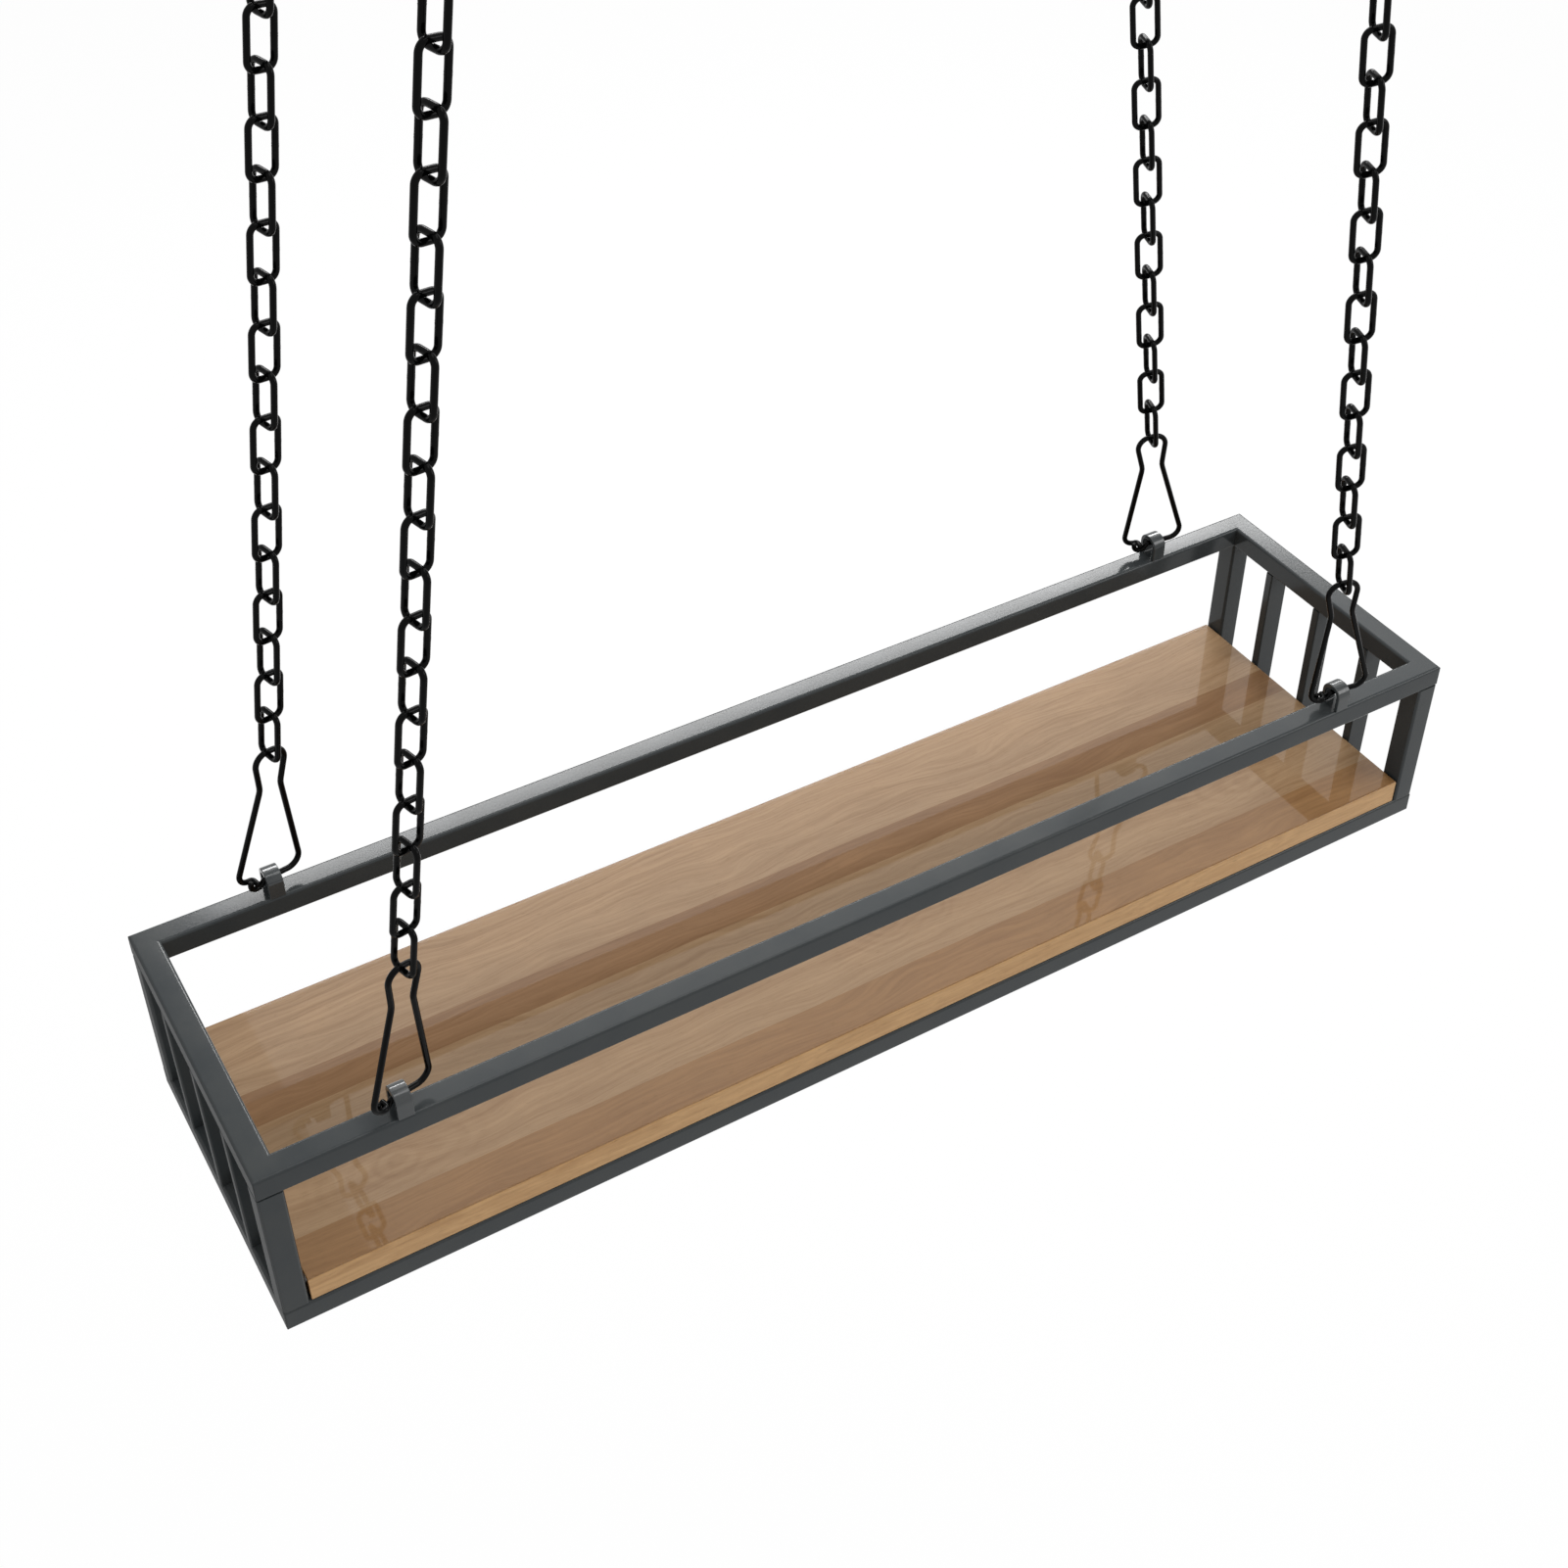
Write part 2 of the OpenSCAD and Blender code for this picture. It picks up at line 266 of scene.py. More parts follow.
class Finish:
    """A surface finish, made into one material the first time that a piece asks for it."""

    made: dict[str, bpy.types.Material] = {}
    title: str
    slot: Slot

    def material(self) -> bpy.types.Material:
        """Makes the material when the first piece asks for it.

        Returns:
            The material.
        """
        if self.title not in Finish.made:
            material = bpy.data.materials.new(self.title)
            material.use_nodes = True
            self.paint(Graph(material.node_tree))
            Finish.made[self.title] = material
        return Finish.made[self.title]

    def paint(self, graph: Graph) -> None:
        """Fills the material's tree."""
        raise NotImplementedError


@dataclass(frozen=True)
class StovePaint(Finish):
    """Dark grey stove paint on the welded steel: fine orange peel and faint mottling.

    The frame's outermost faces, past end_mm along X, are duller, and their colour is darkened there as
    painted shade.
    """

    title: str = "stove_paint"
    slot: Slot = Slot.FRAME
    colour: tuple = (0.042, 0.048, 0.051)
    thin_colour: tuple = (0.050, 0.055, 0.056)
    dust_colour: tuple = (0.09, 0.09, 0.088)
    # Painted shade: the colour that the outermost end faces are darkened towards.
    end_colour: tuple = (0.026, 0.029, 0.030)
    roughness: float = 0.15
    gloss: float = 0.17
    cloud_scale: float = 0.035
    peel_scale: float = 0.625
    dust_scale: float = 2.4
    end_mm: float = 319.2
    end_fade_mm: float = 0.5
    relief: tuple = (0.03, 0.0002)

    def paint(self, graph: Graph) -> None:
        """Fills the material's tree.

        Args:
            graph: the tree, which is still empty.
        """
        x, y, z = graph.place()
        where = graph.vector(x, y, z)
        cloud = graph.noise(where, self.cloud_scale, 4.0, 0.6)
        peel = graph.noise(where, self.peel_scale, 2.0)
        dust = graph.noise(where, self.dust_scale, 1.0).between(0.72, 0.80)
        colour = graph.blend(cloud.between(0.35, 0.65), self.colour, self.thin_colour)
        colour = graph.blend(dust * 0.35, colour, self.dust_colour)
        # Painted shade past end_mm: the colour darkens there, and the roughness also rises.
        end_dull_and_shade = x.maths("ABSOLUTE").between(self.end_mm, self.end_mm + self.end_fade_mm)
        colour = graph.blend(end_dull_and_shade * 0.7, colour, self.end_colour)
        rough = self.roughness + (cloud - 0.5) * 0.1 + dust * 0.15 + end_dull_and_shade * 0.4
        height = peel + dust * 0.25
        graph.surface(Base_Color=colour, Roughness=rough, Specular_IOR_Level=self.gloss,
                      Normal=graph.bump(height, *self.relief))


@dataclass(frozen=True)
class LacqueredStaves(Finish):
    """Glued hardwood staves along the shelf, under clear gloss lacquer.

    A stop is where a stave begins, as a share of the depth, and its tone. The arcs are the middles
    of growth rings, which show in one stave only.
    """

    title: str = "lacquered_staves"
    slot: Slot = Slot.WOOD
    depth_mm: float = 160.0
    stops: tuple = (
        (0.0, (0.252, 0.134, 0.052)), (0.141, (0.310, 0.196, 0.103)),
        (0.560, (0.222, 0.120, 0.054)), (0.690, (0.318, 0.204, 0.112)),
        (0.985, (0.280, 0.168, 0.084)))
    front_edge: tuple = (0.600, 0.358, 0.158)
    late_wood: tuple = (0.68, 0.58, 0.47)
    # Paler tone for both the grain's own pale streaks and the painted reflection band towards the back
    # edge.
    pale_wood: tuple = (1.17, 1.15, 1.13)
    pore_colour: tuple = (0.10, 0.058, 0.03)
    front_mm: float = -79.0
    # Painted reflection: the band, in millimetres across the depth, where the wood is painted paler
    # towards the back edge.
    sapwood_mm: tuple = (45.0, 78.0)
    arcs: tuple = ((-246.0, -40.0), (238.0, -36.0), (20.0, -26.0))
    arc_stave_mm: tuple = (-58.0, 8.0)
    arc_weight: float = 0.26
    ring_mm: float = 5.2
    ring_squash: float = 0.42
    ring_wobble_mm: float = 16.0
    ring_fade_mm: tuple = (6.0, 24.0)
    roughness: float = 0.5
    lacquer: float = 0.34
    relief: tuple = (0.035, 0.0002)

    def ovals(self, x: Signal, y: Signal, centre: tuple, wobble: Signal) -> Signal:
        """Nested growth rings round a point, long along the grain, that fade outwards.

        Args:
            x: place along the grain, in millimetres.
            y: place across the grain.
            centre: the rings' middle.
            wobble: noise that makes the rings uneven.

        Returns:
            How dark the late wood is there.
        """
        along = ((x - centre[0]) * self.ring_squash).squared()
        reach = (along + (y - centre[1]).squared()).maths("POWER", 0.5)
        ring = ((reach + wobble * self.ring_wobble_mm) * (2 * math.pi / self.ring_mm)).maths("SINE")
        low, high = (y.between(edge, edge + 2.0) for edge in self.arc_stave_mm)
        return ring.between(-0.6, 1.0) * (1.0 - reach.between(*self.ring_fade_mm)) * low * (1.0 - high)

    def paint(self, graph: Graph) -> None:
        """Fills the material's tree.

        Args:
            graph: the tree, which is still empty.
        """
        x, y, z = graph.place()
        drift = graph.noise(graph.vector(x * 0.35, y, z), 0.03, 2.0)
        across = y + (drift - 0.5) * 1.6
        tone = graph.node("ShaderNodeValToRGB", {"stops": self.stops, "interpolation": "CONSTANT"},
                          {0: (across + self.depth_mm / 2) * (1 / self.depth_mm)})
        tone = graph.blend(y.between(self.front_mm, self.front_mm - 0.3), tone, self.front_edge)
        bent = y + (drift - 0.5) * 26.0
        streak = graph.noise(graph.vector(x * 0.045, bent * 1.1, z * 1.1), 0.5, 6.0, 0.62)
        band = graph.noise(graph.vector(x * 0.02, bent, z), 0.13, 2.0)
        pores = graph.noise(graph.vector(x * 0.16, y * 2.6, z * 2.6), 1.0, 2.0).between(0.62, 0.74)
        cross = graph.noise(graph.vector(x * 0.5, y * 0.25, z), 0.09, 2.0)
        late = streak.between(0.42, 0.78) * 0.62 + band.between(0.48, 0.66) * 0.3
        for centre in self.arcs:
            late = late + self.ovals(x, y, centre, cross - 0.5) * self.arc_weight
        pale = (1.0 - streak.between(0.2, 0.5)) * 0.6 + cross.between(0.45, 0.7) * 0.3
        # Painted reflection: a paler band towards the back edge, added to the grain's own pale streaks.
        pale = pale + y.between(*self.sapwood_mm) * 0.95
        colour = graph.blend(pale, tone, graph.blend(1.0, tone, self.pale_wood, "MULTIPLY"))
        colour = graph.blend(late, colour, graph.blend(1.0, tone, self.late_wood, "MULTIPLY"))
        colour = graph.blend(pores * 0.35, colour, self.pore_colour)
        rough = self.roughness + pores * 0.2
        height = 0.6 - pores * 0.5 - late * 0.25
        graph.surface(Base_Color=colour, Roughness=rough, Specular_IOR_Level=0.1,
                      Normal=graph.bump(height, *self.relief),
                      Coat_Weight=self.lacquer - pores * 0.12, Coat_Roughness=0.03, Coat_IOR=1.5)


@dataclass(frozen=True)
class BlackEnamel(Finish):
    """Gloss black dipped enamel on wire, uneven where it ran."""

    title: str = "black_enamel"
    slot: Slot = Slot.BLACK
    colour: tuple = (0.0018, 0.0019, 0.0020)
    worn_colour: tuple = (0.016, 0.016, 0.015)
    roughness: float = 0.12
    gloss: float = 0.07
    relief: tuple = (0.16, 0.0005)

    def paint(self, graph: Graph) -> None:
        """Fills the material's tree.

        Args:
            graph: the tree, which is still empty.
        """
        where = graph.vector(*graph.place())
        runs = graph.noise(where, 0.42, 3.0, 0.6)
        grit = graph.noise(where, 2.2, 2.0)
        rubbed = graph.noise(where, 0.9, 2.0).between(0.70, 0.80)
        colour = graph.blend(rubbed * 0.6, self.colour, self.worn_colour)
        rough = self.roughness + (runs - 0.5) * 0.2 + rubbed * 0.18
        graph.surface(Base_Color=colour, Roughness=rough, Specular_IOR_Level=self.gloss,
                      Normal=graph.bump(runs + grit * 0.2, *self.relief))


@dataclass(frozen=True)
class ZincPlate(Finish):
    """Bright zinc plating on the screws under the board."""

    title: str = "zinc_plate"
    slot: Slot = Slot.ZINC
    colour: tuple = (0.56, 0.57, 0.58)
    dull_colour: tuple = (0.42, 0.42, 0.41)
    roughness: float = 0.28
    relief: tuple = (0.1, 0.0001)

    def paint(self, graph: Graph) -> None:
        """Fills the material's tree.

        Args:
            graph: the tree, which is still empty.
        """
        where = graph.vector(*graph.place())
        bloom = graph.noise(where, 0.8, 4.0, 0.6)
        colour = graph.blend(bloom.between(0.4, 0.7), self.colour, self.dull_colour)
        rough = self.roughness + (bloom - 0.5) * 0.3
        graph.surface(Base_Color=colour, Metallic=1.0, Roughness=rough,
                      Normal=graph.bump(bloom, *self.relief))


class Workpiece:
    """A mesh on the bench: shaped with bmesh operators, then laid down as a named piece."""

    def __init__(self) -> None:
        """Starts empty."""
        self.bm = bmesh.new()

    def block(self, low: tuple, high: tuple) -> None:
        """Adds a box.

        Args:
            low: its corner with the lowest X, Y and Z.
            high: the corner opposite.
        """
        low, high = Vector(low), Vector(high)
        made = bmesh.ops.create_cube(self.bm, size=1.0)["verts"]
        bmesh.ops.scale(self.bm, vec=high - low, verts=made)
        bmesh.ops.translate(self.bm, vec=(high + low) / 2, verts=made)

    def section(self, corners: list) -> tuple[list, list]:
        """Adds a flat face.

        Args:
            corners: its corners in turn.

        Returns:
            Its vertices and its edges.
        """
        verts = [self.bm.verts.new(corner) for corner in corners]
        edges = [self.bm.edges.new((verts[k], verts[k - 1])) for k in range(len(verts))]
        bmesh.ops.edgeloop_fill(self.bm, edges=edges)
        return verts, edges

    def edges_along(self, way: tuple) -> list:
        """Finds the edges along a direction.

        Args:
            way: the direction, of length 1.

        Returns:
            The edges.
        """
        way = Vector(way)
        return [e for e in self.bm.edges
                if abs((e.verts[1].co - e.verts[0].co).normalized().dot(way)) > 0.9999]

    def edges_at(self, axis: int, *levels: float) -> list:
        """Edges that lie at one of these levels of an axis."""
        return [e for e in self.bm.edges
                if any(all(abs(v.co[axis] - level) < CLOSE for v in e.verts) for level in levels)]

    def ease(self, edges: list, width: float, steps: int) -> None:
        """Rounds edges.

        Args:
            edges: the edges to round.
            width: how far the rounding reaches on each side.
            steps: faces across the rounding.
        """
        bmesh.ops.bevel(self.bm, geom=edges, offset=width, offset_type="OFFSET", segments=steps,
                        profile=0.5, affect="EDGES", material=-1, clamp_overlap=True)

    def saw(self, at: tuple, facing: tuple) -> None:
        """Cuts off what lies past a plane and closes the cut.

        Args:
            at: a point on the plane.
            facing: the side that is cut off.
        """
        made = bmesh.ops.bisect_plane(
            self.bm, geom=[*self.bm.verts, *self.bm.edges, *self.bm.faces], dist=NEAR,
            plane_co=Vector(at), plane_no=Vector(facing).normalized(), clear_outer=True)
        rim = [e for e in made["geom_cut"] if isinstance(e, bmesh.types.BMEdge)]
        bmesh.ops.edgeloop_fill(self.bm, edges=rim)

    def lathe(self, profile: list, centre: tuple, steps: int = 32, closed: bool = True) -> None:
        """Turns a profile round an upright axis.

        Args:
            profile: the outline as pairs of radius and height.
            centre: the point on the axis that the heights count from.
            steps: faces round the turn.
            closed: whether the outline's last point joins its first.
        """
        centre = Vector(centre)
        verts = [self.bm.verts.new(centre + Vector((r, 0.0, z))) for r, z in profile]
        pairs = list(zip(verts, verts[1:] + verts[:1]))
        edges = [self.bm.edges.new(pair) for pair in (pairs if closed else pairs[:-1])]
        bmesh.ops.spin(self.bm, geom=[*verts, *edges], cent=centre, axis=UP, angle=2 * math.pi,
                       steps=steps, use_merge=True, use_duplicate=False)
        bmesh.ops.remove_doubles(self.bm, verts=list(self.bm.verts), dist=NEAR)

    def move(self, matrix: Matrix) -> None:
        """Moves all of the mesh."""
        bmesh.ops.transform(self.bm, matrix=matrix, verts=list(self.bm.verts))

    def lay(self, name: str, finish: Finish, body: str | None, nodes: tuple = (),
            crease: float = 40.0, flat: bool = False) -> bpy.types.Object:
        """Lays the mesh down as a piece of the object.

        Args:
            name: the piece's name.
            finish: its surface finish.
            body: the body that it rides on, or None to leave it on no body.
            nodes: the solids that it stands for.
            crease: the angle in degrees past which an edge looks sharp.
            flat: whether its broad faces look flat up to their rounded edges.

        Returns:
            The piece.
        """
        bmesh.ops.recalc_face_normals(self.bm, faces=list(self.bm.faces))
        for face in self.bm.faces:
            face.smooth = True
        mesh = bpy.data.meshes.new(name)
        self.bm.to_mesh(mesh)
        self.bm.free()
        mesh.set_sharp_from_angle(angle=math.radians(crease))
        mesh.materials.append(finish.material())
        piece = put(name, mesh)
        shade = piece.modifiers.new("shade", "WEIGHTED_NORMAL")
        shade.keep_sharp = True
        shade.weight = 100 if flat else 50
        if nodes:
            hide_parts(*nodes)
        if body:
            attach(piece, body)
        LOG.info("%s: %d faces on %s", name, len(mesh.polygons), body)
        return piece


class Sweep:
    """A cross-section drawn through the air in straight runs and bends."""

    def __init__(self, bm: bmesh.types.BMesh, ring: list, at: Vector, along: Vector) -> None:
        """Starts from a ring of vertices.

        Args:
            bm: the mesh that the sweep grows in.
            ring: the vertices round the section.
            at: the section's middle.
            along: the way that it sets off.
        """
        self.bm, self.ring, self.first = bm, ring, list(ring)
        self.at, self.along = at.copy(), along.normalized()

    def rim(self) -> list:
        """The edges of the open end."""
        ring = set(self.ring)
        return [e for e in {e for v in self.ring for e in v.link_edges} if set(e.verts) <= ring]

    def run(self, length: float) -> Self:
        """Goes straight on.

        Args:
            length: how far it goes.

        Returns:
            The sweep.
        """
        made = bmesh.ops.extrude_edge_only(self.bm, edges=self.rim())["geom"]
        self.ring = [v for v in made if isinstance(v, bmesh.types.BMVert)]
        bmesh.ops.translate(self.bm, vec=self.along * length, verts=self.ring)
        self.at = self.at + self.along * length
        return self

    def bend(self, centre: Vector, axis: Vector, angle: float, step: float = 11.0) -> Self:
        """Bends round a centre.

        Args:
            centre: the middle of the bend.
            axis: the line that it turns about.
            angle: how far it turns, in radians.
            step: the largest turn between rings, in degrees.

        Returns:
            The sweep.
        """
        steps = max(2, math.ceil(math.degrees(angle) / step))
        made = bmesh.ops.spin(self.bm, geom=[*self.ring, *self.rim()], cent=centre, axis=axis,
                              angle=angle, steps=steps, use_merge=False, use_duplicate=False)
        self.ring = [v for v in made["geom_last"] if isinstance(v, bmesh.types.BMVert)]
        turn = Matrix.Rotation(angle, 3, axis)
        self.at = centre + turn @ (self.at - centre)
        self.along = turn @ self.along
        return self

    def close(self) -> Self:
        """Closes the open end with a flat face."""
        bmesh.ops.edgeloop_fill(self.bm, edges=self.rim())
        return self


class Rod(Sweep):
    """Round rod or wire."""

    dome = math.radians(80.0)

    def __init__(self, bm: bmesh.types.BMesh, gauge: float, at: Vector, along: Vector,
                 sides: int = 16) -> None:
        """Starts with an open ring at a point.

        Args:
            bm: the mesh that the rod grows in.
            gauge: the rod's diameter.
            at: where it starts.
            along: the way that it sets off.
            sides: faces round the rod.
        """
        place = Matrix.Translation(at) @ along.normalized().to_track_quat("Z", "Y").to_matrix().to_4x4()
        ring = bmesh.ops.create_circle(bm, cap_ends=False, segments=sides, radius=gauge / 2,
                                       matrix=place)["verts"]
        super().__init__(bm, ring, at, along)

    def swell(self, factor: float) -> Self:
        """Makes the open end wider or narrower."""
        bmesh.ops.scale(self.bm, vec=(factor,) * 3, space=Matrix.Translation(-self.at),
                        verts=self.ring)
        return self

    def open_out(self, depth: float, steps: int = 4) -> Self:
        """Starts from a closed, rounded end.

        Args:
            depth: how far the rounding reaches along the rod.
            steps: rings in the rounding.

        Returns:
            The rod.
        """
        turns = [self.dome * (1 - k / steps) for k in range(steps + 1)]
        self.swell(math.cos(turns[0])).close()
        for before, after in zip(turns, turns[1:]):
            self.run(depth * (math.sin(before) - math.sin(after)))
            self.swell(math.cos(after) / math.cos(before))
        return self

    def round_off(self, depth: float, steps: int = 4) -> Self:
        """Ends in a closed, rounded end.

        Args:
            depth: how far the rounding reaches along the rod.
            steps: rings in the rounding.

        Returns:
            The rod.
        """
        turns = [self.dome * k / steps for k in range(steps + 1)]
        for before, after in zip(turns, turns[1:]):
            self.run(depth * (math.sin(after) - math.sin(before)))
            self.swell(math.cos(after) / math.cos(before))
        return self.close()

    def follow(self, points: list, radii: list) -> Self:
        """Goes on through points, with a bend at each but the last.

        Args:
            points: the corners of the way, from the rod's end on.
            radii: the bend radius at each point; the last is 0.

        Returns:
            The rod.
        """
        for k, (point, radius) in enumerate(zip(points, radii)):
            if not radius:
                self.run((point - self.at).length)
                continue
            out = (points[k + 1] - point).normalized()
            angle = self.along.angle(out)
            cut = radius * math.tan(angle / 2)
            inward = (out - self.along * self.along.dot(out)).normalized()
            self.run((point - self.at).length - cut)
            axis = self.along.cross(out).normalized()
            self.bend(self.at + inward * radius, axis, angle)
        return self

    def weld(self) -> Self:
        """Joins the open end to the first ring."""
        bmesh.ops.remove_doubles(self.bm, verts=[*self.ring, *self.first], dist=CLOSE)
        return self


@dataclass
class SteelFrame:
    """Welded frame: two mitred rings of square tube, four posts and six end bars."""

    length: float = 0.640
    depth: float = FRAME_DEPTH
    height: float = FRAME_HEIGHT
    base: float = FRAME_BASE
    tube: float = TUBE
    wall: float = TUBE_WALL
    tube_round: float = 0.0015
    corner_round: float = 0.0008
    corner_cuts: tuple = (15.0, 30.0, 45.0)
    end_ease: float = 0.0003
    bar_depth: float = 0.005
    bar_round: float = 0.0008
    bar_step: float = 0.038
    screw_step: float = SCREW_STEP
    access: float = 0.008
    access_land: float = 0.0052
    hollow_share: float = 1.16
    finish: Finish = StovePaint()

    def access_hole(self, work: Workpiece, x: float, y: float) -> None:
        """Opens a screwdriver hole in a rail's lower wall, with the hollow behind it.

        Args:
            work: the rail, lying along X with its lower face at height 0.
            x: the hole's place along the rail.
            y: the hole's place across the rail.
        """
        for side in (-1, 1):
            bmesh.ops.bisect_plane(
                work.bm, geom=[*work.bm.verts, *work.bm.edges, *work.bm.faces], dist=NEAR,
                plane_co=(x + side * self.access_land, y, 0.0), plane_no=(1.0, 0.0, 0.0))
        middle = Vector((x, y, 0.0))
        patch = min(work.bm.faces, key=lambda f: (f.calc_center_median() - middle).length)
        border = list(patch.edges)
        bmesh.ops.delete(work.bm, geom=[patch], context="FACES_ONLY")
        ring = Rod(work.bm, self.access, middle, UP, sides=24)
        bmesh.ops.bridge_loops(work.bm, edges=[*border, *ring.rim()])
        ring.run(self.wall).run(0.0).swell(self.hollow_share)
        ring.run(self.tube - 2 * self.wall).close()

    def rail(self, name: str, turn: float, length: float, reach: float, level: float,
             drilled: bool = False) -> None:
        """Builds one mitred rail of a ring.

        Args:
            name: the solid that it stands for.
            turn: which side of the frame, in degrees.
            length: its outer length.
            reach: how far its outer face lies from the middle.
            level: how far its lower face lies above the frame's base.
            drilled: whether it has the holes for the board's screws.
        """
        work, half, tube, soft = Workpiece(), length / 2, self.tube, self.corner_round
        work.block((-half, -reach, 0.0), (half, tube - reach, tube))
        work.ease(work.edges_along((1, 0, 0)), self.tube_round, 5)
        if drilled:
            for k in (-1, 0, 1):
                self.access_hole(work, k * self.screw_step, tube / 2 - reach)
        for side in (-1, 1):
            work.saw((side * half, -reach, 0.0), (side, 1.0, 0.0))
            heart = Vector((side * (half - soft), soft - reach, 0.0))
            for angle in map(math.radians, self.corner_cuts):
                out = Vector((side * math.sin(angle), -math.cos(angle), 0.0))
                work.saw(heart + out * soft, out)
        raised = Matrix.Translation((0, 0, self.base + level))
        work.move(raised @ Matrix.Rotation(math.radians(turn), 4, "Z"))
        work.lay(name + "_tube", self.finish, "shelf", (name,), crease=32.0, flat=True)

    def upright(self, name: str, x: float, y: float, width: float, depth: float, soft: float) -> None:
        """Builds a post or an end bar between the rings.

        Args:
            name: the solid that it stands for.
            x: its middle along the frame.
            y: its middle across the frame.
            width: its size along the frame.
            depth: its size across the frame.
            soft: the rounding of its long edges.
        """
        work = Workpiece()
        low, high = self.base + self.tube, self.base + self.height - self.tube
        work.block((x - width / 2, y - depth / 2, low), (x + width / 2, y + depth / 2, high))
        work.ease(work.edges_along((0, 0, 1)), soft, 5)
        work.ease(work.edges_at(2, low, high), self.end_ease, 2)
        work.lay(name + "_steel", self.finish, "shelf", (name,), crease=32.0, flat=True)

    def build(self) -> None:
        """Builds both rings, the posts and the bars."""
        long_side, end_side = (self.length, self.depth / 2), (self.depth, self.length / 2)
        sides = (("front", 0, *long_side), ("right", 90, *end_side),
                 ("back", 180, *long_side), ("left", 270, *end_side))
        for ring, level in (("top", self.height - self.tube), ("bottom", 0.0)):
            for side, turn, length, reach in sides:
                self.rail(f"rail_{ring}_{side}", turn, length, reach, level,
                          drilled=ring == "bottom" and side in ("front", "back"))
        post_x, post_y = (self.length - self.tube) / 2, (self.depth - self.tube) / 2
        for corner in Corner:
            self.upright(f"post_{corner.label}", corner.x * post_x, corner.y * post_y,
                         self.tube, self.tube, self.tube_round)
        for side, x in (("left", -post_x), ("right", post_x)):
            for place, k in (("front", -1), ("middle", 0), ("back", 1)):
                self.upright(f"bar_{side}_{place}", x, k * self.bar_step, self.tube,
                             self.bar_depth, self.bar_round)


@dataclass
class Board:
    """Lacquered wooden board on the bottom ring, and the screws that hold it from below."""

    length: float = 0.614
    depth: float = 0.159
    thickness: float = 0.014
    edge_round: float = 0.001
    end_round: float = 0.0005
    level: float = FRAME_BASE + TUBE
    wall: float = TUBE_WALL
    rail_y: float = RAIL_Y
    screw_step: float = SCREW_STEP
    head: float = 0.0035
    head_rise: float = 0.0022
    head_dome: tuple = ((0.78, 0.0001), (0.95, 0.0006), (1.0, 0.0013))
    shank: float = 0.00175
    shank_length: float = 0.006
    taper: tuple = (0.8, 0.0100)
    tip: float = 0.0001
    bite: float = 0.009
    recess_rim: float = 0.0018
    recess_size: float = 0.0013
    recess_depth: float = 0.0011
    recess_taper: float = 0.6
    finish: Finish = LacqueredStaves()
    screw_finish: Finish = ZincPlate()

    def panel(self) -> None:
        """Builds the board itself."""
        work = Workpiece()
        x, y, z = self.length / 2, self.depth / 2, self.level
        work.block((-x, -y, z), (x, y, z + self.thickness))
        work.ease(work.edges_along((1, 0, 0)), self.edge_round, 4)
        work.ease(work.edges_at(0, -x, x), self.end_round, 3)
        work.lay("board_panel", self.finish, "shelf", ("board",), crease=50.0, flat=True)

    def screw(self, work: Workpiece, x: float, y: float) -> None:
        """Adds one pan-head screw with its cross recess.

        Args:
            work: the mesh that all screws share.
            x: its place along the board.
            y: its place across the board.
        """
        rise, shank = self.head_rise, self.shank
        foot = Vector((x, y, self.level - self.wall - rise))
        profile = [(self.recess_rim, 0.0)]
        profile += [(self.head * share, height) for share, height in self.head_dome]
        profile += [(self.head, rise), (shank, rise), (shank, rise + self.shank_length),
                    (shank * self.taper[0], self.taper[1]), (self.tip, rise + self.wall + self.bite)]
        work.lathe(profile, foot, steps=24, closed=False)
        hole = [e for e in work.bm.edges if e.is_boundary
                and all((v.co - foot).length < self.recess_rim * 1.05 for v in e.verts)]
        grid = bmesh.ops.create_grid(work.bm, x_segments=3, y_segments=3, size=self.recess_size,
                                     matrix=Matrix.Translation(foot))["verts"]
        cells = {f for v in grid for f in v.link_faces}
        rim = {e for f in cells for e in f.edges if e.is_boundary}
        cross = [f for f in cells if sum(e.is_boundary for e in f.edges) != 2]
        bmesh.ops.bridge_loops(work.bm, edges=[*hole, *rim])
        sunk = bmesh.ops.extrude_face_region(work.bm, geom=cross)["geom"]
        bmesh.ops.delete(work.bm, geom=cross, context="FACES_ONLY")
        verts = [v for v in sunk if isinstance(v, bmesh.types.BMVert)]
        bmesh.ops.translate(work.bm, vec=UP * self.recess_depth, verts=verts)
        bmesh.ops.scale(work.bm, vec=(self.recess_taper, self.recess_taper, 1.0), verts=verts,
                        space=Matrix.Translation((-x, -y, 0)))

    def build(self) -> None:
        """Builds the board and its six screws."""
        self.panel()
        work = Workpiece()
        for k in (-1, 0, 1):
            for side in (-1, 1):
                self.screw(work, k * self.screw_step, side * self.rail_y)
        work.lay("board_screw_set", self.screw_finish, "shelf", ("board_screws",))


